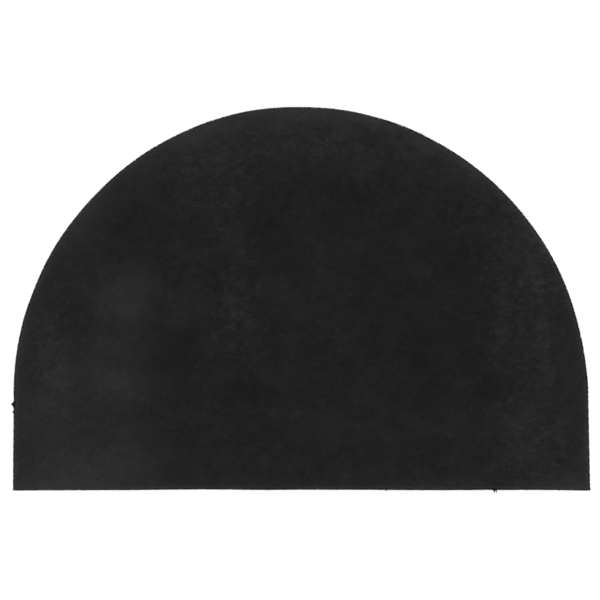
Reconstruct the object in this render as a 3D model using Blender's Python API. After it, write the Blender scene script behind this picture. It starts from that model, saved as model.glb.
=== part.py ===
"""Half-round coir doormat, lying flat.

The mat is one piece, as it is cut from the bonded sheet: stiff coir bristles standing in a thin
vinyl backing. The underside is flat. The cut edge is upright at the backing and splays a little
in the pile, where nothing holds the outer bristles. The sheared top is slightly uneven.

Metres, +Z up, +X along the straight edge and +Y towards the crown of the arc. The origin is under
the middle of the mat's bounding box, on the floor.
"""

import bpy
import numpy as np

MM = 0.001

# Driving sizes
STRAIGHT_EDGE_LEFT = 0.3735  # from under the arc's centre to the left corner
STRAIGHT_EDGE_RIGHT = 0.3765  # and to the right corner
ARC_RADIUS = 0.3718
ARC_CENTRE_RISE = 0.1259  # of the arc's centre above the straight edge
CORNER_RADIUS = 1.2 * MM
THICKNESS = 15.0 * MM  # backing and pile together

# How finely the outline is cut, in steps
ARC_STEPS = 96
SIDE_STEPS = 8
EDGE_STEPS = 40
CORNER_STEPS = 3

# Where the knife left the true half round, outwards, with the place in degrees round the arc from
# its right-hand end
ARC_WANDER = (
    # degrees, out_mm
    (0, 2.2),
    (8, 0.5),
    (14, -0.1),
    (26, 0.1),
    (40, -0.55),
    (62, -0.45),
    (69, 0.35),
    (75, 0.0),
    (80, 0.4),
    (88, 0.0),
    (101, 0.95),
    (121, 0.0),
    (138, -1.0),
    (152, -0.15),
    (159, -0.4),
    (165, 0.45),
    (180, 0.65),
)

# The same for the straight edge, with the place as a share of the way from its left corner
EDGE_WANDER = (
    # share, out_mm
    (0.0, 0.6),
    (0.04, 0.25),
    (0.21, -0.05),
    (0.25, -0.5),
    (0.33, -0.9),
    (0.445, -0.2),
    (0.49, -0.55),
    (0.58, -0.45),
    (0.74, 0.1),
    (0.82, -0.2),
    (0.92, -0.2),
    (1.0, 0.5),
)

# The cut edge from the floor up: first the backing, then the pile
EDGE_SECTION = (
    # height_mm, inset_mm
    (0.0, 1.0),
    (2.0, 1.0),
    (2.6, 0.7),
    (7.0, 0.25),
    (11.0, 0.0),
    (13.0, 0.1),
    (13.9, 0.4),
    (14.4, 0.95),
)

# Rings over the sheared top, as shares of the way from the middle to the edge
TOP_RINGS = (0.985, 0.96, 0.92, 0.85, 0.77, 0.68, 0.59, 0.5, 0.4, 0.3, 0.2, 0.1)

# The top's unevenness, as waves that run at an angle to the straight edge
TOP_WAVES = (
    # length_m, heading_deg, shift, rise_mm
    (0.31, 20, 0.10, 0.22),
    (0.19, 115, 0.45, 0.18),
    (0.12, 65, 0.80, 0.10),
)

COIR_COLOUR = (0.017, 0.0165, 0.017, 1.0)
COIR_ROUGHNESS = 0.95


def smooth_between(rows, places):
    """The second column of rows at each of these places in the first, eased in and out at each row."""
    at, value = np.array(rows, float).T
    row = np.clip(np.searchsorted(at, places, side="right") - 1, 0, len(at) - 2)
    share = (places - at[row]) / (at[row + 1] - at[row])
    eased = share * share * (3 - 2 * share)
    return value[row] + (value[row + 1] - value[row]) * eased


def straight_line(start, end, steps):
    """Points from start towards end, both left out."""
    share = np.arange(1, steps)[:, None] / steps
    return start + (end - start) * share


def rounded_corner(corner, first_deg):
    """A quarter turn just inside a right-angled corner, from the heading first_deg on."""
    inwards = np.radians(first_deg + 45)
    centre = corner - CORNER_RADIUS * 2**0.5 * np.array([np.cos(inwards), np.sin(inwards)])
    turn = np.radians(first_deg + np.linspace(0, 90, CORNER_STEPS + 1))
    return centre + CORNER_RADIUS * np.stack([np.cos(turn), np.sin(turn)], 1)


def cut_outline():
    """The mat's outline, anticlockwise from its left corner, about the middle of its bounding box."""
    degrees = np.linspace(0, 180, ARC_STEPS + 1)
    radius = ARC_RADIUS + MM * smooth_between(ARC_WANDER, degrees)
    turn = np.radians(degrees)
    arc = np.stack([radius * np.cos(turn), radius * np.sin(turn)], 1)

    share = np.linspace(0, 1, EDGE_STEPS + 1)
    along = share * (STRAIGHT_EDGE_LEFT + STRAIGHT_EDGE_RIGHT) - STRAIGHT_EDGE_LEFT
    out = MM * smooth_between(EDGE_WANDER, share)
    edge = np.stack([along, -ARC_CENTRE_RISE - out], 1)

    outline = np.concatenate(
        [
            rounded_corner(edge[0], 180),
            edge[1:-1],
            rounded_corner(edge[-1], 270),
            straight_line(edge[-1], arc[0], SIDE_STEPS),
            arc,
            straight_line(arc[-1], edge[0], SIDE_STEPS),
        ]
    )
    return outline - (outline.min(0) + outline.max(0)) / 2


def outward_directions(outline):
    """At each point of the outline, the unit direction straight out of the mat."""
    along = np.roll(outline, -1, 0) - np.roll(outline, 1, 0)
    out = np.stack([along[:, 1], -along[:, 0]], 1)
    return out / np.linalg.norm(out, axis=1, keepdims=True)


def top_height(points):
    """How high the sheared top is over these points."""
    height = np.full(len(points), THICKNESS)
    for length, heading, shift, rise in TOP_WAVES:
        way = np.radians(heading)
        along = points @ (np.cos(way), np.sin(way)) / length
        height += MM * rise * np.sin(2 * np.pi * (along + shift))
    return height


def mat_rings():
    """The mat's rings of points from the floor up its cut edge, and on over the top to near its middle."""
    outline = cut_outline()
    out = outward_directions(outline)
    rings = []
    for height, inset in EDGE_SECTION:
        ring = outline - MM * inset * out
        rings.append(np.column_stack([ring, np.full(len(ring), MM * height)]))
    rim = rings[-1][:, :2]
    for share in TOP_RINGS:
        ring = rim * share
        rings.append(np.column_stack([ring, top_height(ring)]))
    return rings


def loft(name, rings, peak):
    """A closed mesh over a stack of rings: one flat face under the first, a fan to peak over the last."""
    steps = len(rings[0])
    here = np.arange(steps)
    after = np.roll(here, -1)
    faces = [here[::-1].tolist()]
    for level in range(len(rings) - 1):
        low, high = level * steps, (level + 1) * steps
        walls = np.stack([low + here, low + after, high + after, high + here], 1)
        faces.extend(walls.tolist())
    last, middle = (len(rings) - 1) * steps, len(rings) * steps
    fan = np.stack([last + here, last + after, np.full(steps, middle)], 1)
    faces.extend(fan.tolist())
    mesh = bpy.data.meshes.new(name)
    mesh.from_pydata(np.vstack([*rings, peak]).tolist(), [], faces)
    mesh.shade_smooth()
    mesh.set_sharp_from_angle(angle=np.radians(40))
    return mesh


def coir_material():
    """Near-black dyed coir, which has no gloss."""
    material = bpy.data.materials.new("coir")
    material.use_nodes = True
    surface = material.node_tree.nodes["Principled BSDF"]
    surface.inputs["Base Color"].default_value = COIR_COLOUR
    surface.inputs["Roughness"].default_value = COIR_ROUGHNESS
    surface.inputs["Metallic"].default_value = 0.0
    return material


def add_mat(collection):
    """The whole mat as one solid."""
    middle = np.zeros((1, 2))
    peak = np.column_stack([middle, top_height(middle)])
    mesh = loft("mat", mat_rings(), peak)
    mesh.materials.append(coir_material())
    mat = bpy.data.objects.new("mat", mesh)
    collection.objects.link(mat)


def main():
    for thing in list(bpy.data.objects):
        bpy.data.objects.remove(thing, do_unlink=True)
    collection = bpy.data.collections.new("half_round_doormat")
    bpy.context.scene.collection.children.link(collection)
    add_mat(collection)


if __name__ == "__main__":
    main()
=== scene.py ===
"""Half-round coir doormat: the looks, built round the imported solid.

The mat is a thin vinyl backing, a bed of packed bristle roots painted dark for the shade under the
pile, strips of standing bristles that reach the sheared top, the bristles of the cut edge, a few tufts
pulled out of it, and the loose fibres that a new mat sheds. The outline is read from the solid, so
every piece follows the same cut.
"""

import bpy
import numpy as np
from bpy.props import FloatProperty, FloatVectorProperty, IntProperty, PointerProperty
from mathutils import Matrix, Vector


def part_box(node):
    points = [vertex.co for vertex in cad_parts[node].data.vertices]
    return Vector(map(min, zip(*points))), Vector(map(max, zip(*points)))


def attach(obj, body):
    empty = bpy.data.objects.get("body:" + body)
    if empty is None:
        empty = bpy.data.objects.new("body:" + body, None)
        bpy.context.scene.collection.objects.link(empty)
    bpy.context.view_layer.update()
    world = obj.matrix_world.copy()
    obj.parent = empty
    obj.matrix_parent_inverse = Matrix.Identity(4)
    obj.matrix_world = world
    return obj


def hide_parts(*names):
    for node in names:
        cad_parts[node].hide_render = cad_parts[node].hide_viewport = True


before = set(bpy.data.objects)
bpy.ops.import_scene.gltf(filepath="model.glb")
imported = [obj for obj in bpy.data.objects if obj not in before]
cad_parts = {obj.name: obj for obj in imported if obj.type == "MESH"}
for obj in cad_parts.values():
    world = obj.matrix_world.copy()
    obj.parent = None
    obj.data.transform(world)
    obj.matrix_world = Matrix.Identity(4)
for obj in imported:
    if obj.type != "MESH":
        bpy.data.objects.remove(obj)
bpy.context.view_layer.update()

bl_info = {
    "name": "Half-round coir doormat",
    "version": (1, 0, 0),
    "blender": (4, 5, 0),
    "location": "3D View > Sidebar > Doormat",
    "description": "Builds a half-round coir doormat from its backing up",
    "category": "Object",
}

MM = 0.001
LENGTH = {"unit": "LENGTH", "subtype": "DISTANCE"}
BODY = "root"
NODE = "mat"
BRISTLE_MAP = "OFBake"  # a bristle's own map: along it from root to tip, and across by its shade
MAP_LENGTH = 0.25  # of the map's width that a bristle takes, as all lie on each other there
MAP_HALF_WIDTH = 0.002
LOW, HIGH = (np.array(corner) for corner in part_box(NODE))
ARC_CENTRE_RISE = 0.1259  # above the straight edge
MOST_AT_ONCE = 20000  # points measured against the outline together, which spares memory

BED_ACROSS, BED_UP = 190, 124  # steps of the grid over the bed, along and away from the straight edge
GRID_CORNER = (0.7, 0.56)  # where that grid's upper corners meet the arc, in shares of the half sizes
SHADE = "shade"  # the bed's own measure of how light the pile is

DARK_SHADE = 0.16  # under which the pile hardly gets any darker
WARM_UP_TO, NEUTRAL_FROM = 0.15, 0.42  # shades between which the coir loses its warmth
FLECKS_LIFT, SPOTS_LIFT, CLUMPS_LIFT, CLOUDS_LIFT = 17, 7, 4, 5.2  # in hundredths, as the patches' is
PATCH_FALL, PATCH_POWER = 0.8, 2.6  # a patch is e to the power of -fall * distance**power

# Bristles in the field, the cut edge and the tufts
BRISTLE_SIDES = 3
FIELD_RADII, EDGE_RADII, TUFT_RADII = (0.75, 1.25), (0.65, 0.95), (0.6, 0.9)  # shares of the radius
FIELD_SHADES, EDGE_SHADES, TUFT_SHADES = 0.025, 0.06, 0.08  # how much their own shades vary
FIELD_SHEARED, EDGE_SHEARED = 0.55, 0.8  # the share that ends in a flat tip

# The field's, with their leans in degrees
LIE_LEAN, CLUMP_LEAN = 9, 16  # together over a hand's width, and clump by clump
OWN_LEAN, WILD_LEAN, WILD_SHARE = 10, 20, 0.3  # each by itself, and the share that strays further
MOST_LEAN = 0.85  # in radians
ROOTS_SUNK = 1.2 * MM  # below the bed's top

# The cut edge's
FEET_SUNK_MM = 0.3  # into the backing
LEAST_ROOT_DEPTH_MM = 1.1
SLANT_MM = 0.8  # along the edge, from root to tip
TOPS_SPREAD_MM = 1.3
STRAIGHT_TIPS_IN = 0.2 * MM  # how much further in the tips stand on the sides that are straight
FURTHEST_TIP_OUT = 0.5 * MM  # where the cut leaves no bristle, at the corners above all

# The tufts'
TUFT_HEIGHTS_MM = (9.5, 13.5)  # at which they leave the cut
TUFT_SHADE = 0.12
OUTER_SHORTER = 0.7  # the share of the reach that those at a tuft's sides lack
GATHERED = 0.55  # the share of the way to its middle that they come

# The loose fibres
LOOSE_IN = 12 * MM  # how far in from the cut their middles lie at least
LOOSE_PLACES = 8  # points along each
LOOSE_TURN = 1.3  # the most that one turns to either side, in radians
LOOSE_LENGTHS, LOOSE_RADII, LOOSE_SINKS = (5, 19), (0.12, 0.2), (0.5, 2.2)  # in mm
LOOSE_SHADES = (0.45, 0.95)

LAMP_PLACE = (-0.15, 0.2, 4.0)  # from which it shines to the mat's middle

# Each random thing's seed, and for a soft noise the side of its cells too
FIELD_SEED, EDGE_SEED, TUFTS_SEED, LOOSE_SEED = 3, 5, 7, 9
BED_LUMPS, BED_SMALL_LUMPS = (9 * MM, 11), (5 * MM, 12)
FLECKS, SPOTS, CLUMPS, CLOUDS = (3 * MM, 21), (5 * MM, 22), (11 * MM, 23), (24 * MM, 24)
TOP_WAVES = (7 * MM, 31)
LIE_X_AND_Y = (60 * MM, 41), (60 * MM, 42)
CLUMP_X_AND_Y = (6 * MM, 43), (6 * MM, 44)
WAVER_X_AND_Y = (27 * MM, 51), (27 * MM, 53)
SMALL_WAVER_X_AND_Y = (9 * MM, 52), (9 * MM, 54)

# Where the pile is lighter or darker: soft patches about the mat's middle, with their lift in
# hundredths of the way from the darkest coir to the lightest
PATCHES = (
    # place, x_mm, y_mm, half_width_mm, half_depth_mm, lift
    ("left third", -278, -120, 84, 150, 28),
    ("left third, upper end", -228, 8, 32, 38, 20),
    ("its bright core", -226, -13, 20, 12, 18),
    ("left third, lower core", -243, -108, 30, 14, 22),
    ("left column", -323, -120, 21, 78, 23),
    ("left edge, lower", -357, -168, 15, 33, 18),
    ("bottom left", -292, -228, 87, 28, 30),
    ("bottom left, inner end", -222, -200, 30, 14, 12),
    ("bottom left, spot", -293, -199, 16, 12, 10),
    ("left third, dark spot", -302, -111, 10, 12, -10),
    ("by the left of the arc", -304, -35, 26, 34, -20),
    ("left of the arc", -290, 105, 28, 32, 18),
    ("left of the arc, lower", -322, -5, 10, 14, 5),
    ("left of the arc, upper", -194, 160, 11, 11, 8),
    ("left third, by its upper end", -260, 34, 14, 14, -5),
    ("left third, right side", -189, -33, 12, 14, -17),
    ("left third, lower right side", -194, -138, 12, 34, -6),
    ("upper left", -225, 70, 42, 30, -4),
    ("spot by the left third", -152, -15, 24, 18, 7),
    ("beyond the left third", -160, -68, 36, 30, -10),
    ("speckled upper left", -115, 158, 46, 58, 16),
    ("crown", -10, 208, 110, 30, 18),
    ("crown, left end", -140, 208, 28, 14, 20),
    ("crown, rim", 15, 244, 56, 8, 30),
    ("crown, right end", 168, 196, 24, 12, 25),
    ("crown, spot", 44, 232, 28, 8, 15),
    ("below the crown", 72, 170, 36, 20, 13),
    ("below the crown, left", -14, 181, 16, 13, 6),
    ("streak, upper", -94, 46, 12, 40, 8),
    ("streak, middle", -84, -24, 15, 24, 15),
    ("streak, side", -118, -59, 20, 15, 12),
    ("streak, foot", -64, -66, 10, 20, 9),
    ("right band", 288, -60, 38, 150, 13),
    ("inner streak", 260, -22, 8, 34, 11),
    ("between the streaks", 276, 13, 7, 16, -10),
    ("outer streak", 310, -20, 6, 26, 21),
    ("outer streak, middle", 304, 18, 6, 20, 18),
    ("right of the outer streak", 318, 28, 6, 16, -10),
    ("outer streak, upper end", 298, 54, 6, 18, 14),
    ("outer streak, foot", 317, -72, 6, 26, 18),
    ("right band, spot", 291, -160, 24, 18, 19),
    ("right band, lower end", 288, -209, 31, 25, 17),
    ("right edge", 348, -60, 22, 80, 8),
    ("right edge, spot", 337, -79, 9, 14, 10),
    ("right edge, lower", 338, -190, 26, 34, 14),
    ("right corner", 352, -236, 24, 15, 28),
    ("middle, upper left", -42, 108, 24, 36, -9),
    ("middle, left", -30, 58, 26, 18, -6),
    ("middle, upper right", 68, 125, 34, 28, -9),
    ("middle, right", 95, 30, 42, 30, -6),
    ("middle, lower right", 111, -42, 36, 38, -6),
    ("darkest", 158, -64, 29, 33, -13),
    ("below the darkest", 163, -120, 28, 28, -7),
    ("right", 213, 43, 31, 60, -6),
    ("right, lower", 222, -60, 24, 50, -6),
    ("right, upper", 215, 130, 30, 20, -6),
    ("spot by the right band", 258, -115, 21, 17, -20),
    ("middle", -27, 13, 37, 18, 7),
    ("middle, lower left", -68, -120, 32, 13, -12),
    ("bottom, left of the middle", -104, -213, 18, 9, 9),
    ("lower middle", 40, -172, 46, 18, 7),
    ("lower right", 200, -175, 50, 13, 8),
    ("lower right, inner end", 121, -180, 14, 9, 9),
    ("bottom, right of the middle", 108, -228, 16, 9, 9),
    ("lower right, by the edge", 214, -228, 24, 13, 9),
    ("rim, left corner", -367, -243, 12, 9, 24),
    ("rim, lower left", -328, -245, 22, 8, 28),
    ("rim, end of the lower left", -217, -245, 25, 8, -11),
    ("rim, lower middle", -40, -247, 25, 5, -10),
    ("rim, right of the lower middle", 157, -247, 14, 6, 9),
    ("rim, by the lower tuft", 244, -247, 16, 6, -15),
    ("rim, lower right", 311, -246, 18, 7, 13),
    ("rim, right corner", 367, -244, 12, 9, 25),
    ("rim, above the right corner", 370, -190, 7, 34, 17),
    ("rim, right end of the crown", 92, 229, 24, 12, 18),
    ("rim, left end of the crown", -27, 230, 20, 18, 13),
    ("rim, left of the crown", -107, 230, 26, 11, 19),
    ("rim, upper left", -214, 177, 30, 13, 14),
    ("rim, upper right", 211, 169, 22, 15, 14),
    ("rim, left", -371, -104, 6, 28, 10),
    ("rim, left, upper end", -361, -68, 9, 16, 11),
    ("rim, right", 345, 8, 13, 46, -8),
)

# Where the tips are more mixed, light and dark
SPECKLED = (
    # place, x_mm, y_mm, half_width_mm, half_depth_mm, share more
    ("upper left", -115, 160, 42, 50, 1.2),
    ("crown", 30, 205, 110, 26, 0.95),
    ("streak", -85, -10, 26, 60, 1.1),
    ("right band", 285, -50, 45, 110, 0.6),
    ("inner streak", 262, -25, 11, 40, 1.0),
    ("outer streak", 309, 5, 9, 62, 1.5),
    ("outer streak, foot", 318, -75, 9, 28, 0.8),
    ("left column", -328, -75, 20, 62, 1.1),
    ("right of the arc", 270, 115, 45, 45, 0.9),
    ("lower right", 305, -200, 48, 38, 0.85),
)

# Tufts pulled out of the cut edge
PULLED_TUFTS = (
    # x_mm, y_mm, reach_mm, half_width_mm, bristles
    (-373.6, -136.9, 4.9, 3.6, 76),
    (-373.6, -139.8, 2.2, 2.4, 30),
    (-373.6, -147.1, 2.7, 2.7, 36),
    (251.0, -247.8, 2.9, 1.9, 34),
    (250.4, -247.8, 5.8, 0.9, 16),
    (253.4, -247.8, 4.8, 0.8, 12),
    (157.9, -248.0, 1.6, 1.2, 14),
    (109.9, -248.0, 2.3, 1.2, 16),
    (-191.2, 196.6, 1.3, 1.3, 12),
)

# The cut edge's bristles in rows, from the outermost in
EDGE_ROWS = (
    # kind, root_depth_mm, spread_mm, per_mm, tip_depth_mm, spread_mm, lowest_top_mm
    ("straight", 1.35, 0.12, 5.0, 0.05, 0.16, 13.3),
    ("bent", 1.60, 0.30, 2.4, 0.60, 0.35, 13.8),
    ("bent", 2.50, 0.40, 2.2, 1.60, 0.45, 14.0),
    ("straight", 3.40, 0.40, 2.6, 2.80, 0.50, 14.2),
)

# The bristles that lie tangled on the bed, in layers from the lowest up
TANGLE = (
    # cells_per_m, shift_m, half_length_mm, half_width_mm
    (430, 0.00, 1.50, 0.34),
    (480, 0.31, 1.40, 0.31),
    (540, 0.13, 1.25, 0.28),
    (610, 0.43, 1.10, 0.25),
)


class DOORMAT_PG_sizes(bpy.types.PropertyGroup):
    """The pile's sizes"""

    backing: FloatProperty(
        name="Backing", description="Thickness of the vinyl backing", default=2 * MM, **LENGTH,
    )
    bed_top: FloatProperty(
        name="Bed top", description="Height at which the standing bristles hide what is below them",
        default=11.8 * MM, **LENGTH,
    )
    bed_inset: FloatProperty(
        name="Bed inset", description="How far the bed stands back from the cut edge near its top",
        default=0.8 * MM, **LENGTH,
    )
    pile_top: FloatProperty(
        name="Pile top", description="Height to which the pile is sheared", default=14.9 * MM, **LENGTH,
    )
    pile_ragged: FloatProperty(
        name="Pile raggedness", description="How far single bristles end over or under the sheared top",
        default=0.45 * MM, **LENGTH,
    )
    bristle_radius: FloatProperty(
        name="Bristle radius", description="Half the thickness of a bristle", default=0.36 * MM, **LENGTH,
    )
    bristles_per_cm2: FloatProperty(
        name="Bristles per cm2", description="How densely the field is set", default=57.0,
    )
    field_inset: FloatProperty(
        name="Field inset", description="How far in from the cut the field's bristles begin",
        default=2.9 * MM, **LENGTH,
    )
    loose_fibres: IntProperty(
        name="Loose fibres", description="How many shed fibres lie on the pile", default=260,
    )
    strips: IntProperty(
        name="Strips", description="Pieces that the field of bristles is made in", default=5,
    )


class DOORMAT_PG_colours(bpy.types.PropertyGroup):
    """The finishes' colours"""

    coir_dark: FloatVectorProperty(
        name="Coir, darkest", description="Colour of the darkest bristles",
        default=(0.0099, 0.0099, 0.0099), subtype="COLOR", size=3,
    )
    coir_warmth: FloatVectorProperty(
        name="Coir warmth", description="What the darker bristles' colour is multiplied by",
        default=(1.05, 0.97, 1.00), subtype="COLOR", size=3, max=2.0,
    )
    coir_light: FloatVectorProperty(
        name="Coir, lightest", description="Colour of the lightest bristles",
        default=(0.0494, 0.0494, 0.0494), subtype="COLOR", size=3,
    )
    # Painted shade: how much of its colour a bristle keeps at its root, darker for the shadow of its
    # neighbours
    root_painted_shade: FloatProperty(
        name="Root shade", description="How much of its colour a bristle keeps at its root",
        default=0.55, subtype="FACTOR",
    )
    vinyl: FloatVectorProperty(
        name="Vinyl", description="Colour of the backing",
        default=(0.020, 0.020, 0.021), subtype="COLOR", size=3,
    )


class DOORMAT_PG_stage(bpy.types.PropertyGroup):
    """The floor, lights and camera"""

    floor_side: FloatProperty(name="Floor", description="Side of the floor", default=30.0, **LENGTH)
    floor_colour: FloatVectorProperty(
        name="Floor colour", description="Pale floor", default=(0.86, 0.86, 0.86), subtype="COLOR", size=3,
    )
    sky: FloatProperty(name="Sky", description="Strength of the even light all round", default=0.4)
    lamp_strength: FloatProperty(
        name="Lamp", description="Strength of the soft lamp overhead", default=3.05,
    )
    lamp_spread: FloatProperty(
        name="Lamp spread", description="How wide the lamp looks from the mat, which softens its shadows",
        default=0.3, unit="ROTATION", subtype="ANGLE",
    )
    camera_height: FloatProperty(
        name="Camera height", description="Of the camera above the floor", default=2.6, **LENGTH,
    )
    view_width: FloatProperty(
        name="View width", description="What the camera takes in at the pile", default=0.780, **LENGTH,
    )
    view_offset: FloatVectorProperty(
        name="View offset", description="Of the view's middle from the mat's",
        default=(-2.0 * MM, -1.5 * MM), size=2, subtype="XYZ", unit="LENGTH",
    )


# The outline and the pile's shade


def cut_outline():
    """The solid's outline where it reaches furthest, and how high that is: the points at the height of
    the point with the largest x, in order of their heading from the mat's middle."""
    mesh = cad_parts[NODE].data
    points = np.empty(len(mesh.vertices) * 3, np.float32)
    mesh.vertices.foreach_get("co", points)
    points = np.unique(points.reshape(-1, 3).round(6), axis=0)
    widest = points[points[:, 0].argmax(), 2]
    ring = points[np.abs(points[:, 2] - widest) < 0.02 * MM, :2]
    return ring[np.arctan2(ring[:, 1], ring[:, 0]).argsort()].astype(float), float(widest)


OUTLINE, RIM_HEIGHT = cut_outline()


def measured(outline):
    """The outline with its first point again at its end, and how far along it each point is."""
    ends = np.vstack([outline, outline[:1]])
    return ends, np.concatenate([[0], np.cumsum(np.linalg.norm(np.diff(ends, axis=0), axis=1))])


def finer(outline, step):
    """The same outline with points about step apart on its straight pieces."""
    ends, along = measured(outline)
    at = np.linspace(0, along[-1], int(along[-1] / step) + 1)[:-1]
    return np.stack([np.interp(at, along, ends[:, k]) for k in range(2)], 1)


def four_sides(outline, across, up):
    """The outline's points, dealt evenly to the four sides of a grid: from the lower left corner along
    the straight edge, up the right and part of the arc, back over the crown, and down the left."""
    ends, along = measured(outline)
    x, y = GRID_CORNER
    corners = HIGH[:2] * np.array([(-1, -1), (1, -1), (x, y), (-x, y), (-1, -1)])
    at = [along[np.linalg.norm(outline - corner, axis=1).argmin()] for corner in corners]
    at = np.cumsum(np.append(at[0], np.diff(at) % along[-1]))
    sides = zip(at, at[1:], (across, up, across, up))
    places = np.concatenate([np.linspace(start, end, steps, endpoint=False) for start, end, steps in sides])
    return np.stack([np.interp(places, along, ends[:, k], period=along[-1]) for k in range(2)], 1)


def grid_within(loop, across, up):
    """A grid of points on a loop of four sides: the sum of what lies straight between its lower and
    upper sides and what lies straight between its left and right, less what lies between its corners."""
    bottom, right = loop[: across + 1], loop[across : across + up + 1]
    top = loop[across + up : 2 * across + up + 1][::-1]
    left = np.vstack([loop[2 * across + up :], loop[:1]])[::-1]
    u = np.linspace(0, 1, across + 1)[:, None, None]
    v = np.linspace(0, 1, up + 1)[None, :, None]
    between = (1 - v) * bottom[:, None] + v * top[:, None] + (1 - u) * left + u * right
    corners = (1 - v) * ((1 - u) * bottom[0] + u * bottom[-1]) + v * ((1 - u) * top[0] + u * top[-1])
    return between - corners


def set_in(outline, inset):
    """The outline drawn in by nearly the same distance all round, as it is scaled along x and y."""
    return outline * (1 - inset / HIGH[:2])


def outward(outline):
    """At each point, the unit direction out of the mat, square to the line through its neighbours."""
    along = np.roll(outline, -1, 0) - np.roll(outline, 1, 0)
    out = np.stack([along[:, 1], -along[:, 0]], 1)
    return out / np.linalg.norm(out, axis=1, keepdims=True)


def edge_distance(points):
    """How far in from the outline each point is: the least distance to its straight pieces, less than
    nothing where the point's heading meets the outline before the point."""
    start, end = OUTLINE, np.roll(OUTLINE, -1, 0)
    way = end - start
    length = (way**2).sum(1)
    near = []
    for some in np.array_split(points, max(1, len(points) // MOST_AT_ONCE)):
        off = some[:, None] - start
        share = np.clip((off * way).sum(2) / length, 0, 1)
        near.append(np.linalg.norm(off - share[..., None] * way, axis=2).min(1))
    ring = finer(OUTLINE, 2 * MM)
    heading = np.arctan2(ring[:, 1], ring[:, 0])
    order = heading.argsort()
    rims = np.linalg.norm(ring, axis=1)[order]
    reach = np.interp(np.arctan2(points[:, 1], points[:, 0]), heading[order], rims, period=2 * np.pi)
    inside = np.linalg.norm(points, axis=1) < reach
    return np.concatenate(near) * np.where(inside, 1, -1)


def soft_noise(points, cell, seed):
    """Random numbers from -1 to 1 at the corners of square cells, eased across each cell."""
    at = (points - LOW[:2]) / cell + 2
    low = np.floor(at).astype(int)
    share = at - low
    x, y = (share * share * (3 - 2 * share)).T
    size = np.ceil((HIGH[:2] - LOW[:2]) / cell).astype(int) + 6
    corner = np.random.default_rng(seed).uniform(-1, 1, size)
    i, j = low.T
    near = corner[i, j] * (1 - x) + corner[i + 1, j] * x
    far = corner[i, j + 1] * (1 - x) + corner[i + 1, j + 1] * x
    return near * (1 - y) + far * y


def soft_ways(points, noises):
    """One soft noise as each point's x and another as its y."""
    return np.stack([soft_noise(points, *noise) for noise in noises], 1)


def skewed(noise, skew, mean):
    """Noise as a power of e, which makes its light spots stand out, less its mean."""
    return np.exp(skew * noise) - mean


def patched(rows, points):
    """The sum of soft patches, each nearly level in its middle and gone at about twice its half sizes."""
    total = np.zeros(len(points))
    for _, x, y, wide, deep, amount in rows:
        off = np.abs((points / MM - (x, y)) / (wide, deep))
        total += amount * np.exp(-PATCH_FALL * (off**PATCH_POWER).sum(1))
    return total


def pile_shade(points, depth, flecks_lift=FLECKS_LIFT):
    """How light the pile is, from 0 to 1: the patches, with wavering edges, a rim that is partly painted
    light and ends in a painted shadow at the cut, clouds and clumps, and on them light spots and flecks,
    more where the tips are mixed. All but the clouds are a little longer across the mat than up it. What
    falls under the dark shade does so by half."""
    waver = 5 * MM * soft_ways(points, WAVER_X_AND_Y) + 3 * MM * soft_ways(points, SMALL_WAVER_X_AND_Y)
    lift = patched(PATCHES, points + waver)
    crown = np.clip((points[:, 1] / MM + 80) / 240, 0, 1)
    crown = crown * crown * (3 - 2 * crown)
    rim = (
        # partly painted light: the rim is made lighter for the light its splayed bristles catch from the
        # floor
        38 * np.exp(-depth / MM / 6.5)  # the rim as a whole
        + 30 * np.exp(-depth / MM / 28) * (0.22 + 0.78 * crown)  # a broad band, lightest at the crown
        + 34 * np.exp(-(((depth / MM - 3.5) / 1.1) ** 2))  # a light line just inside the cut
        - 80 * np.exp(-((depth / MM / 1.9) ** 2))  # the shadow at the cut
    )
    drawn_out = points * (0.72, 1.04)
    flecks = flecks_lift * skewed(soft_noise(drawn_out, *FLECKS), 2, 1.42)
    flecks += SPOTS_LIFT * skewed(soft_noise(drawn_out, *SPOTS), 1.3, 1.16)
    mottle = flecks * (0.6 + patched(SPECKLED, points))
    mottle += CLUMPS_LIFT * skewed(soft_noise(drawn_out, *CLUMPS), 1, 1.09)
    mottle += CLOUDS_LIFT * soft_noise(points, *CLOUDS)
    shade = 0.24 + 0.01 * (lift + rim + mottle)
    return np.where(shade < DARK_SHADE, DARK_SHADE + 0.5 * (shade - DARK_SHADE), shade)


# Meshes from arrays


def mesh_from_arrays(name, points, corners, sides, places=None):
    """A mesh of faces with these numbers of sides, whose corners follow each other in one row."""
    mesh = bpy.data.meshes.new(name)
    mesh.vertices.add(len(points))
    mesh.vertices.foreach_set("co", points.astype(np.float32).ravel())
    mesh.loops.add(len(corners))
    mesh.loops.foreach_set("vertex_index", corners.astype(np.int32))
    mesh.polygons.add(len(sides))
    starts = np.concatenate([[0], np.cumsum(sides)[:-1]])
    mesh.polygons.foreach_set("loop_start", starts.astype(np.int32))
    mesh.polygons.foreach_set("use_smooth", np.ones(len(sides), bool))
    if places is not None:
        layer = mesh.uv_layers.new(name=BRISTLE_MAP, do_init=False)
        layer.uv.foreach_set("vector", places[corners].astype(np.float32).ravel())
    mesh.update(calc_edges=True)
    return mesh


def walls(rings, steps):
    """The corners of the four-sided faces that join rings of points to each other, from the first up,
    where each ring has this number of steps and the points are numbered ring by ring."""
    here = np.arange(steps)
    after = (here + 1) % steps
    start = np.arange(rings - 1)[:, None] * steps
    faces = np.stack([start + here, start + after, start + steps + after, start + steps + here], 2)
    return faces.reshape(-1, 4)


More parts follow.
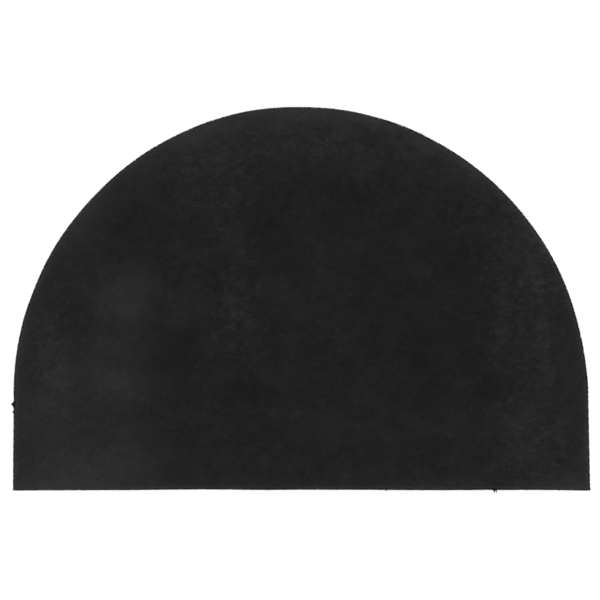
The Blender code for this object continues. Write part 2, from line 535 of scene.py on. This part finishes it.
def bristles(name, paths, radii, shade, random, tip_first=False):
    """Closed bristles, all in one mesh: on each path a small ring of points round each place but the
    last, square to the way the path runs there, and a point at the last. paths is bristle by place
    by xyz, and radii bristle by place. A path runs from root to tip, or back where tip_first says so."""
    count, places = paths.shape[:2]
    sides = BRISTLE_SIDES
    along = np.gradient(paths, axis=1)
    along /= np.linalg.norm(along, axis=2, keepdims=True)
    side = np.cross(along, (1.0, 0.0, 0.0))
    along_x = np.linalg.norm(side, axis=2, keepdims=True) < 0.2
    side = np.where(along_x, np.cross(along, (0.0, 1.0, 0.0)), side)
    side /= np.linalg.norm(side, axis=2, keepdims=True)
    other = np.cross(along, side)
    turn = random.uniform(0, 2 * np.pi, (count, 1)) + 2 * np.pi * np.arange(sides) / sides
    ring = (
        np.cos(turn)[:, None, :, None] * side[:, :-1, None]
        + np.sin(turn)[:, None, :, None] * other[:, :-1, None]
    )
    ring = paths[:, :-1, None] + ring * radii[:, :-1, None, None]
    points = np.concatenate([ring.reshape(count, -1, 3), paths[:, -1:]], 1)

    here = np.arange(sides)
    last = (places - 2) * sides
    flanks = walls(places - 1, sides)
    tips = np.stack([last + here, last + (here + 1) % sides, np.full(sides, last + sides)], 1)
    own = np.concatenate([here[::-1], flanks.ravel(), tips.ravel()])
    counts = np.concatenate([[sides], np.full(len(flanks), 4), np.full(sides, 3)])
    corners = (own + points.shape[1] * np.arange(count)[:, None]).ravel()

    level = np.append(np.repeat(np.arange(places - 1), sides), places - 1) / (places - 1)
    across = np.append(np.tile(np.linspace(-1, 1, sides), places - 1), 0) * MAP_HALF_WIDTH
    tip_first = np.broadcast_to(tip_first, count)[:, None]
    u = np.where(tip_first, 1 - level, level) * MAP_LENGTH
    v = np.clip(shade, 0, 1)[:, None] * (1 - 4 * MAP_HALF_WIDTH) + 2 * MAP_HALF_WIDTH + across
    return mesh_from_arrays(
        name, points.reshape(-1, 3), corners, np.tile(counts, count), np.stack([u, v], 2).reshape(-1, 2)
    )


def lofted(name, rings, top=None):
    """A closed surface over a stack of rings with equal numbers of points, from the floor up: a flat
    face under the first, and four-sided faces from each ring to the next. Over the last lies either a
    flat face or a grid of points, whose border is that ring."""
    steps = rings.shape[1]
    here = np.arange(steps)
    last = (len(rings) - 1) * steps + here
    faces = walls(len(rings), steps)
    points = rings.reshape(-1, 3)
    caps = [here[::-1]]
    if top is None:
        caps.append(last)
    else:
        across, up = top.shape[0] - 1, top.shape[1] - 1
        number = np.empty(top.shape[:2], int)
        number[:, 0] = last[: across + 1]
        number[-1] = last[across : across + up + 1]
        number[::-1, -1] = last[across + up : 2 * across + up + 1]
        number[0, ::-1] = np.append(last[2 * across + up :], last[0])
        inner = top[1:-1, 1:-1].reshape(-1, 3)
        number[1:-1, 1:-1] = (len(points) + np.arange(len(inner))).reshape(across - 1, up - 1)
        points = np.vstack([points, inner])
        cells = np.stack([number[:-1, :-1], number[1:, :-1], number[1:, 1:], number[:-1, 1:]], 2)
        faces = np.vstack([faces, cells.reshape(-1, 4)])
    corners = np.concatenate([*caps, faces.ravel()])
    sides = np.concatenate([np.full(len(caps), steps), np.full(len(faces), 4)])
    return mesh_from_arrays(name, points, corners, sides)


def piece(mesh, material):
    """Puts a finished mesh in the scene at the origin, riding with the mat and standing for its solid."""
    mesh.materials.append(material)
    made = bpy.data.objects.new(mesh.name, mesh)
    bpy.context.scene.collection.objects.link(made)
    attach(made, BODY)
    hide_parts(NODE)


# Materials


class Varying:
    """A number that changes over a surface. Sums and products of it add Math nodes."""

    def __init__(self, finish, socket):
        self.finish = finish
        self.socket = socket

    def worked(self, operation, *values):
        node = self.finish.node("ShaderNodeMath", {"operation": operation}, *values)
        return Varying(self.finish, node.outputs[0])

    def __add__(self, other):
        return self.worked("ADD", self, other)

    def __radd__(self, other):
        return self.worked("ADD", other, self)

    def __sub__(self, other):
        return self.worked("SUBTRACT", self, other)

    def __rsub__(self, other):
        return self.worked("SUBTRACT", other, self)

    def __mul__(self, other):
        return self.worked("MULTIPLY", self, other)

    def __rmul__(self, other):
        return self.worked("MULTIPLY", other, self)

    def __truediv__(self, other):
        return self.worked("DIVIDE", self, other)

    def __abs__(self):
        return self.worked("ABSOLUTE", self)

    def or_larger(self, other):
        return self.worked("MAXIMUM", self, other)


class Finish:
    """A material's nodes, made one at a time, round its Principled shader."""

    def __init__(self, name, **constants):
        self.material = bpy.data.materials.new(name)
        self.material.use_nodes = True
        self.tree = self.material.node_tree
        self.surface = self.tree.nodes["Principled BSDF"]
        for socket, value in constants.items():
            self.surface.inputs[socket.replace("_", " ")].default_value = value

    def give(self, socket, value):
        """Links value to a socket if it varies, and otherwise sets it."""
        if isinstance(value, Varying):
            value = value.socket
        if isinstance(value, bpy.types.NodeSocket):
            self.tree.links.new(value, socket)
        else:
            socket.default_value = value

    def node(self, kind, settings=None, *values, **named):
        """A node with its settings first, then its sockets in order, then those that are named."""
        node = self.tree.nodes.new(kind)
        for setting, value in (settings or {}).items():
            setattr(node, setting, value)
        for socket, value in zip(node.inputs, values):
            self.give(socket, value)
        for socket, value in named.items():
            self.give(node.inputs[socket.replace("_", " ")], value)
        return node

    def number(self, socket):
        return Varying(self, socket)

    def eased(self, value, low, high):
        """From 0 at low to 1 at high, without a corner at either."""
        node = self.node(
            "ShaderNodeMapRange", {"interpolation_type": "SMOOTHSTEP"}, value, low, high, 0.0, 1.0
        )
        return Varying(self, node.outputs[0])

    def mixed(self, share, first, second, blend="MIX"):
        """A colour between two others, or the first blended with the second."""
        node = self.node("ShaderNodeMix", {"data_type": "RGBA", "blend_type": blend})
        self.give(node.inputs[0], share)
        self.give(node.inputs[6], first)
        self.give(node.inputs[7], second)
        return node.outputs[2]

    def noise(self, at, scale, roughness):
        node = self.node("ShaderNodeTexNoise", None, Vector=at, Scale=scale, Roughness=roughness)
        return Varying(self, node.outputs["Fac"])

    def strokes(self, at, scale, shift, half_length, half_width):
        """Short strokes from above, one in each Voronoi cell and each turned its own way: how far a point
        is along and across its stroke, as shares of half its size, and the stroke's own number."""
        moved = self.node("ShaderNodeVectorMath", {"operation": "ADD"}, at, shift).outputs[0]
        cells = self.node(
            "ShaderNodeTexVoronoi", {"voronoi_dimensions": "2D"}, Vector=moved, Scale=scale
        )
        away = self.node(
            "ShaderNodeVectorMath", {"operation": "SUBTRACT"}, moved, cells.outputs["Position"]
        )
        own = self.node("ShaderNodeSeparateColor", None, cells.outputs["Color"]).outputs
        turned = self.node(
            "ShaderNodeVectorRotate", {"rotation_type": "Z_AXIS"},
            Vector=away.outputs[0], Angle=self.number(own[0]) * (2 * np.pi),
        )
        along, across, _ = self.node("ShaderNodeSeparateXYZ", None, turned.outputs[0]).outputs
        return self.number(along) / half_length, self.number(across) / half_width, self.number(own[1])

    def bump(self, height, distance):
        node = self.node("ShaderNodeBump", None, Distance=distance, Height=height)
        self.give(self.surface.inputs["Normal"], node.outputs[0])

    def colour(self, value):
        self.give(self.surface.inputs["Base Color"], value)


def rgba(colour, share=1.0):
    return (*(share * part for part in colour), 1.0)


def coir_colour(finish, colours, shade, share):
    """A share of the colour between darkest and lightest coir, warmer where the shade is dark."""
    # a share under one paints shade, as at the bristles' roots and between the bed's strokes
    plain = finish.mixed(shade, rgba(colours.coir_dark, share), rgba(colours.coir_light, share))
    neutral = finish.eased(shade, WARM_UP_TO, NEUTRAL_FROM)
    warmth = finish.mixed(neutral, rgba(colours.coir_warmth), rgba((1, 1, 1)))
    return finish.mixed(1.0, plain, warmth, "MULTIPLY")


def bristle_finish(colours):
    """Dyed coir: each bristle has its own shade between two near-blacks, and is painted darker towards its
    root, a painted shade for the shadow the bristles cast on each other.
    """
    finish = Finish("dyed_coir", Roughness=0.82, Specular_IOR_Level=0.17)
    place = finish.node("ShaderNodeUVMap", {"uv_map": BRISTLE_MAP})
    parts = finish.node("ShaderNodeSeparateXYZ", None, place.outputs[0])
    along = finish.number(parts.outputs[0]) / MAP_LENGTH
    shade = finish.number(parts.outputs[1])
    tip = coir_colour(finish, colours, shade, 1.0)
    # painted shade: the root end is darkened for the shadow the bristles cast on each other
    root = coir_colour(finish, colours, shade, colours.root_painted_shade)
    finish.colour(finish.mixed(finish.eased(along, 0.05, 0.9), root, tip))
    return finish.material


def tangle(finish, place):
    """Bristles that lie across each other, layer on layer: how light and how high each point is. A
    stroke hides what is under it, darkens what lies close next to it with a painted shadow, is round
    across, and is painted darker at its lower end, a painted shade, so that it gets lighter towards its
    tip."""
    light = height = None
    for level, (cells_per_m, shift, half_length, half_width) in enumerate(TANGLE):
        along, across, own = finish.strokes(
            place, cells_per_m, (shift, 0.6 * shift, 0.0), MM * half_length, MM * half_width
        )
        off = abs(along).or_larger(abs(across))
        # painted shadow: a ring just outside each stroke, which darkens what lies under it
        on_it, painted_shadow_beside = 1 - finish.eased(off, 0.8, 1.0), 1 - finish.eased(off, 1.0, 1.9)
        # painted shade: each stroke is darker at its lower end and lighter towards its tip
        tone_and_painted_shade = (0.35 + 0.6 * own) * (0.8 + 0.2 * along) * on_it
        rise = (0.35 * level + 0.6 * own - 0.5 * across * across) * on_it
        if light is None:
            light, height = tone_and_painted_shade, rise
        else:
            # the painted shadow next to each stroke darkens the layers under it
            light = light * (1 - on_it) * (1 - 0.5 * painted_shadow_beside) + tone_and_painted_shade
            height = height * (1 - on_it) + rise
    return light, height


def bed_finish(colours):
    """Packed bristles, painted dark for the shadow they lie in, as light as the pile is there: the tangle's
    short strokes on top, which the flank carries down as streaks, and painted shadow near black between
    them."""
    finish = Finish("packed_coir", Roughness=0.9, Specular_IOR_Level=0.12)
    place = finish.node("ShaderNodeTexCoord").outputs["Object"]
    light, height = tangle(finish, place)
    shade = finish.number(finish.node("ShaderNodeAttribute", {"attribute_name": SHADE}).outputs["Fac"])
    # painted shadow: between the strokes the bed keeps only a third of the coir's colour
    painted_shadow_between = coir_colour(finish, colours, shade, 0.3)
    tip = coir_colour(finish, colours, shade, 1.1)
    finish.colour(finish.mixed(light, painted_shadow_between, tip))
    finish.bump(height, 0.22 * MM)
    return finish.material


def vinyl_finish(colours):
    """Matte vinyl with a fine pressed grain."""
    finish = Finish("matte_vinyl", Roughness=0.6, Specular_IOR_Level=0.35)
    place = finish.node("ShaderNodeTexCoord").outputs["Object"]
    grain = finish.noise(place, 900.0, 0.6)
    cloud = finish.noise(place, 14.0, 0.5)
    finish.colour(finish.mixed(cloud, rgba(colours.vinyl, 0.8), rgba(colours.vinyl, 1.25)))
    finish.bump(grain, 0.15 * MM)
    return finish.material


# Operators


class DOORMAT_OT_backing(bpy.types.Operator):
    """Lay the vinyl backing, the sheet that the bristles stand in"""

    bl_idname = "doormat.backing"
    bl_label = "Backing"

    def execute(self, context):
        """The outline, set in a little and carried straight up, with its two edges softened."""
        sizes = context.scene.doormat_sizes
        outline = finer(OUTLINE, 4 * MM)
        out = outward(outline)
        section = (
            # height_mm, inset_mm
            (0.0, 1.15),
            (0.15, 1.0),
            (sizes.backing / MM - 0.15, 1.0),
            (sizes.backing / MM, 1.15),
        )
        rings = [
            np.column_stack([outline - MM * inset * out, np.full(len(outline), MM * height)])
            for height, inset in section
        ]
        mesh = lofted("backing", np.array(rings))
        piece(mesh, vinyl_finish(context.scene.doormat_colours))
        return {"FINISHED"}


class DOORMAT_OT_bed(bpy.types.Operator):
    """Pack the bed of bristle roots that the standing bristles rise from"""

    bl_idname = "doormat.bed"
    bl_label = "Bed of roots"

    def execute(self, context):
        """Rings up the flank, set in from the cut and splaying as the bristles do, and a grid over the
        top, raised and lowered by soft noise."""
        sizes = context.scene.doormat_sizes
        outline = four_sides(OUTLINE, BED_ACROSS, BED_UP)
        section = (
            # share of the height, inset_mm
            (0.0, 1.2),
            (0.3, 0.75),
            (0.65, 0.2),
            (0.85, 0.0),
            (0.94, 0.25),
            (1.0, 1.0),
            (1.0, 1.8),
            (1.0, 2.6),
            (1.0, 3.4),
            (1.0, 4.6),
        )
        rings = []
        for share, inset in section:
            ring = set_in(outline, sizes.bed_inset + MM * inset)
            height = sizes.backing + share * (sizes.bed_top - sizes.backing)
            rings.append(np.column_stack([ring, np.full(len(ring), height)]))
        flat = grid_within(rings[-1][:, :2], BED_ACROSS, BED_UP)
        places = flat.reshape(-1, 2)
        lumps = 0.4 * (soft_noise(places, *BED_LUMPS) + soft_noise(places, *BED_SMALL_LUMPS))
        top = np.dstack([flat, sizes.bed_top + MM * lumps.reshape(flat.shape[:2])])
        mesh = lofted("pile_bed", np.array(rings), top)
        points = np.empty(len(mesh.vertices) * 3, np.float32)
        mesh.vertices.foreach_get("co", points)
        places = points.reshape(-1, 3)[:, :2].astype(float)
        shade = mesh.attributes.new(SHADE, "FLOAT", "POINT")
        light = pile_shade(places, edge_distance(places), flecks_lift=0)
        shade.data.foreach_set("value", light.astype(np.float32))
        piece(mesh, bed_finish(context.scene.doormat_colours))
        return {"FINISHED"}


class DOORMAT_OT_field(bpy.types.Operator):
    """Set the field of standing bristles, in strips from left to right"""

    bl_idname = "doormat.field"
    bl_label = "Field of bristles"

    def execute(self, context):
        """Roots on a square grid, each moved at random in its own cell. Each bristle leans by the lie
        of the pile there, by its clump and by itself. Some taper to a point, and the rest are
        sheared, so that they taper down from a flat tip."""
        sizes = context.scene.doormat_sizes
        random = np.random.default_rng(FIELD_SEED)
        step = 0.01 / sizes.bristles_per_cm2**0.5
        grid = np.stack(
            np.meshgrid(np.arange(LOW[0], HIGH[0], step), np.arange(LOW[1], HIGH[1], step)), -1
        ).reshape(-1, 2)
        grid = grid + random.uniform(-0.5, 0.5, grid.shape) * step
        grid = grid[edge_distance(grid) > sizes.field_inset]
        count = len(grid)

        root_height = sizes.bed_top - ROOTS_SUNK
        ragged = 0.5 * soft_noise(grid, *TOP_WAVES) + random.uniform(-1, 0.8, count)
        top = sizes.pile_top + sizes.pile_ragged * ragged
        own_lean = np.where(random.random((count, 1)) < WILD_SHARE, WILD_LEAN, OWN_LEAN)
        lean = np.radians(
            LIE_LEAN * soft_ways(grid, LIE_X_AND_Y)
            + CLUMP_LEAN * soft_ways(grid, CLUMP_X_AND_Y)
            + own_lean * random.standard_normal((count, 2))
        )
        tip = grid + np.tan(np.clip(lean, -MOST_LEAN, MOST_LEAN)) * (top - root_height)[:, None]
        root = np.column_stack([grid, np.full(count, root_height)])
        paths = np.stack([root, np.column_stack([tip, top])], 1)
        sheared = random.random(count) < FIELD_SHEARED
        paths[sheared] = paths[sheared, ::-1]
        radius = sizes.bristle_radius * random.uniform(*FIELD_RADII, count) * np.where(sheared, 0.85, 1.15)
        radii = np.stack([radius, np.zeros(count)], 1)
        shade = pile_shade(tip, edge_distance(tip)) + FIELD_SHADES * random.standard_normal(count)

        material = bristle_finish(context.scene.doormat_colours)
        for number, some in enumerate(np.array_split(grid[:, 0].argsort(), sizes.strips), 1):
            mesh = bristles(
                f"pile_strip_{number}", paths[some], radii[some], shade[some], random, sheared[some]
            )
            piece(mesh, material)
        return {"FINISHED"}


class DOORMAT_OT_edge(bpy.types.Operator):
    """Set the bristles of the cut edge, which splay where nothing holds them"""

    bl_idname = "doormat.edge"
    bl_label = "Cut edge"

    def execute(self, context):
        """In each row the roots are spaced evenly along the outline and then moved a little. A straight
        bristle rises from its root to its tip, and a bent one passes a place at about half its height
        that is already most of the way out. On the straight sides, up to the height of the arc's
        centre, the tips stand a little further in."""
        sizes = context.scene.doormat_sizes
        random = np.random.default_rng(EDGE_SEED)
        ring = finer(OUTLINE, 1 * MM)
        out = outward(ring)
        across = np.stack([-out[:, 1], out[:, 0]], 1)
        foot = sizes.backing / MM - FEET_SUNK_MM
        rows = {"straight": [], "bent": []}
        for kind, depth, depth_spread, per_mm, tip_depth, tip_spread, lowest_top in EDGE_ROWS:
            count = int(len(ring) * per_mm)
            at = (np.arange(count) + random.random(count)) / per_mm
            near = at.astype(int) % len(ring)
            depth = np.maximum(depth + depth_spread * random.standard_normal(count), LEAST_ROOT_DEPTH_MM)
            tip_depth = tip_depth + tip_spread * random.standard_normal(count)
            tip_depth += STRAIGHT_TIPS_IN / MM * (ring[near, 1] < LOW[1] + ARC_CENTRE_RISE)
            slant = SLANT_MM * random.standard_normal(count)
            top = lowest_top + TOPS_SPREAD_MM * random.random(count)
            middle = foot + (top - foot) * random.uniform(0.4, 0.6, count)
            depths = np.stack([depth, depth + 0.75 * (tip_depth - depth), tip_depth], 1)
            along = np.stack([np.zeros(count), 0.35 * slant, slant], 1) + (at % 1)[:, None]
            inward, sideways = -depths[..., None] * out[near, None], along[..., None] * across[near, None]
            heights = np.stack([np.full(count, foot), middle, top], 1)
            path = np.concatenate([ring[near, None] + MM * (inward + sideways), MM * heights[..., None]], 2)
            path = path[edge_distance(path[:, -1, :2]) > -FURTHEST_TIP_OUT]
            rows[kind].append(path if kind == "bent" else path[:, ::2])
        material = bristle_finish(context.scene.doormat_colours)
        for kind, paths in rows.items():
            paths = np.concatenate(paths)
            count = len(paths)
            tip = paths[:, -1, :2].copy()
            shade = pile_shade(tip, np.maximum(edge_distance(tip), 0))
            shade += EDGE_SHADES * random.standard_normal(count)
            sheared = random.random(count) < EDGE_SHEARED
            paths[sheared] = paths[sheared, ::-1]
            radius = sizes.bristle_radius * random.uniform(*EDGE_RADII, count)
            radii = radius[:, None] * np.array([1.0] * (paths.shape[1] - 1) + [0.0])
            mesh = bristles(f"pile_edge_{kind}", paths, radii, shade, random, sheared)
            piece(mesh, material)
        return {"FINISHED"}


class DOORMAT_OT_tufts(bpy.types.Operator):
    """Pull a few tufts out of the cut edge"""

    bl_idname = "doormat.tufts"
    bl_label = "Pulled tufts"

    def execute(self, context):
        """In each tuft the bristles start side by side just inside the cut and gather towards its
        middle as they run out, the middle ones furthest."""
        sizes = context.scene.doormat_sizes
        random = np.random.default_rng(TUFTS_SEED)
        ring = finer(OUTLINE, 1 * MM)
        out = outward(ring)
        tufts = []
        for x, y, reach, half_width, count in PULLED_TUFTS:
            way = out[np.linalg.norm(ring - MM * np.array([x, y]), axis=1).argmin()]
            across = np.array([-way[1], way[0]])
            side = half_width * random.uniform(-1, 1, count)
            far = reach * (1 - OUTER_SHORTER * np.abs(side) / half_width) * random.uniform(0.75, 1, count)
            shift = 0.08 * reach * random.standard_normal(count) - GATHERED * side
            outs = np.stack([np.full(count, -0.4 * reach), 0.45 * far, 0.9 * far, far], 1)
            sides = np.stack([side, side + 0.15 * shift, side + 0.7 * shift, side + shift], 1)
            height = random.uniform(*TUFT_HEIGHTS_MM, count)
            heights = np.stack([height, height + 0.7, height + 0.5, height - 0.6 * random.random(count)], 1)
            flat = np.array([x, y]) + outs[..., None] * way + sides[..., None] * across
            tufts.append(MM * np.concatenate([flat, heights[..., None]], 2))
        paths = np.concatenate(tufts)
        radius = sizes.bristle_radius * random.uniform(*TUFT_RADII, len(paths))
        radii = radius[:, None] * np.array([1.0, 1.0, 0.85, 0.0])
        shade = TUFT_SHADE + TUFT_SHADES * random.standard_normal(len(paths))
        mesh = bristles("pile_tufts", paths, radii, shade, random)
        piece(mesh, bristle_finish(context.scene.doormat_colours))
        return {"FINISHED"}


class DOORMAT_OT_loose(bpy.types.Operator):
    """Scatter the loose fibres that the pile has shed"""

    bl_idname = "doormat.loose"
    bl_label = "Loose fibres"

    def execute(self, context):
        """Each fibre is an arc lying on the pile: its heading turns evenly along it, and its two ends
        sink between the tips."""
        sizes = context.scene.doormat_sizes
        random = np.random.default_rng(LOOSE_SEED)
        middle = random.uniform(LOW[:2], HIGH[:2], (4 * sizes.loose_fibres, 2))
        middle = middle[edge_distance(middle) > LOOSE_IN][: sizes.loose_fibres]
        count = len(middle)
        share = np.linspace(-0.5, 0.5, LOOSE_PLACES)
        turn = random.uniform(0, 2 * np.pi, (count, 1))
        turn = turn + random.uniform(-LOOSE_TURN, LOOSE_TURN, (count, 1)) * share
        step = MM * random.uniform(*LOOSE_LENGTHS, (count, 1)) / (LOOSE_PLACES - 1)
        steps = np.stack([np.cos(turn), np.sin(turn)], 2) * step[..., None]
        flat = np.cumsum(steps, 1)
        flat += (middle - flat.mean(1))[:, None]
        sink = MM * random.uniform(*LOOSE_SINKS, (count, 1))
        height = sizes.pile_top + 0.45 * MM - sink * (2 * share) ** 2
        paths = np.concatenate([flat, height[..., None]], 2)
        radii = MM * random.uniform(*LOOSE_RADII, (count, 1)) * np.sqrt(1 - (1.9 * share) ** 2 * 0.98)
        shade = random.uniform(*LOOSE_SHADES, count)
        mesh = bristles("pile_loose_fibres", paths, radii, shade, random)
        piece(mesh, bristle_finish(context.scene.doormat_colours))
        return {"FINISHED"}


class DOORMAT_OT_stage(bpy.types.Operator):
    """Set the pale floor, the soft lights and the camera, straight above the mat"""

    bl_idname = "doormat.stage"
    bl_label = "Stage"

    def execute(self, context):
        scene = context.scene
        stage = scene.doormat_stage
        side = stage.floor_side / 2
        corner = np.array([(-side, -side, 0), (side, -side, 0), (side, side, 0), (-side, side, 0)])
        mesh = mesh_from_arrays("floor", corner, np.arange(4), np.array([4]))
        finish = Finish("pale_floor", Roughness=0.9, Specular_IOR_Level=0.1)
        finish.colour(rgba(stage.floor_colour))
        mesh.materials.append(finish.material)
        floor = bpy.data.objects.new("floor", mesh)
        scene.collection.objects.link(floor)

        scene.world = bpy.data.worlds.new("even_light")
        scene.world.use_nodes = True
        sky = scene.world.node_tree.nodes["Background"]
        sky.inputs["Color"].default_value = (1.0, 1.0, 1.0, 1.0)
        sky.inputs["Strength"].default_value = stage.sky

        lamp = bpy.data.lights.new("soft_lamp", "SUN")
        lamp.angle = stage.lamp_spread
        lamp.energy = stage.lamp_strength
        hung = bpy.data.objects.new("soft_lamp", lamp)
        hung.location = LAMP_PLACE
        x, y, z = LAMP_PLACE
        hung.rotation_euler = (-np.arctan2(y, z), np.arctan2(x, z), 0)
        scene.collection.objects.link(hung)

        lens = bpy.data.cameras.new("camera")
        lens.lens = lens.sensor_width * (stage.camera_height - RIM_HEIGHT) / stage.view_width
        lens.clip_end = 100.0
        camera = bpy.data.objects.new("camera", lens)
        camera.location = (*stage.view_offset, stage.camera_height)
        scene.collection.objects.link(camera)
        scene.camera = camera
        scene.view_settings.view_transform = "Standard"
        return {"FINISHED"}


class DOORMAT_PT_panel(bpy.types.Panel):
    """The doormat's pieces, from the floor up, and the sizes and colours they are made to"""

    bl_idname = "DOORMAT_PT_panel"
    bl_label = "Half-round coir doormat"
    bl_space_type = "VIEW_3D"
    bl_region_type = "UI"
    bl_category = "Doormat"

    def draw(self, context):
        for operator in OPERATORS:
            self.layout.operator(operator.bl_idname)
        for name, group in GROUPS.items():
            for setting in group.__annotations__:
                self.layout.prop(getattr(context.scene, name), setting)


GROUPS = {
    "doormat_sizes": DOORMAT_PG_sizes,
    "doormat_colours": DOORMAT_PG_colours,
    "doormat_stage": DOORMAT_PG_stage,
}
OPERATORS = (
    DOORMAT_OT_backing,
    DOORMAT_OT_bed,
    DOORMAT_OT_field,
    DOORMAT_OT_edge,
    DOORMAT_OT_tufts,
    DOORMAT_OT_loose,
    DOORMAT_OT_stage,
)


def register():
    for made in (*GROUPS.values(), *OPERATORS, DOORMAT_PT_panel):
        bpy.utils.register_class(made)
    for name, group in GROUPS.items():
        setattr(bpy.types.Scene, name, PointerProperty(type=group))


def unregister():
    for name in GROUPS:
        delattr(bpy.types.Scene, name)
    for made in (DOORMAT_PT_panel, *reversed(OPERATORS), *reversed(GROUPS.values())):
        bpy.utils.unregister_class(made)


def declare_sheet():
    """Works out the area inside the outline, which nothing uses."""
    start, end = OUTLINE, np.roll(OUTLINE, -1, 0)
    area = 0.5 * float((start[:, 0] * end[:, 1] - start[:, 1] * end[:, 0]).sum())


def main():
    register()
    for operator in OPERATORS:
        module, name = operator.bl_idname.split(".")
        getattr(getattr(bpy.ops, module), name)()
    declare_sheet()


if __name__ == "__main__":
    main()
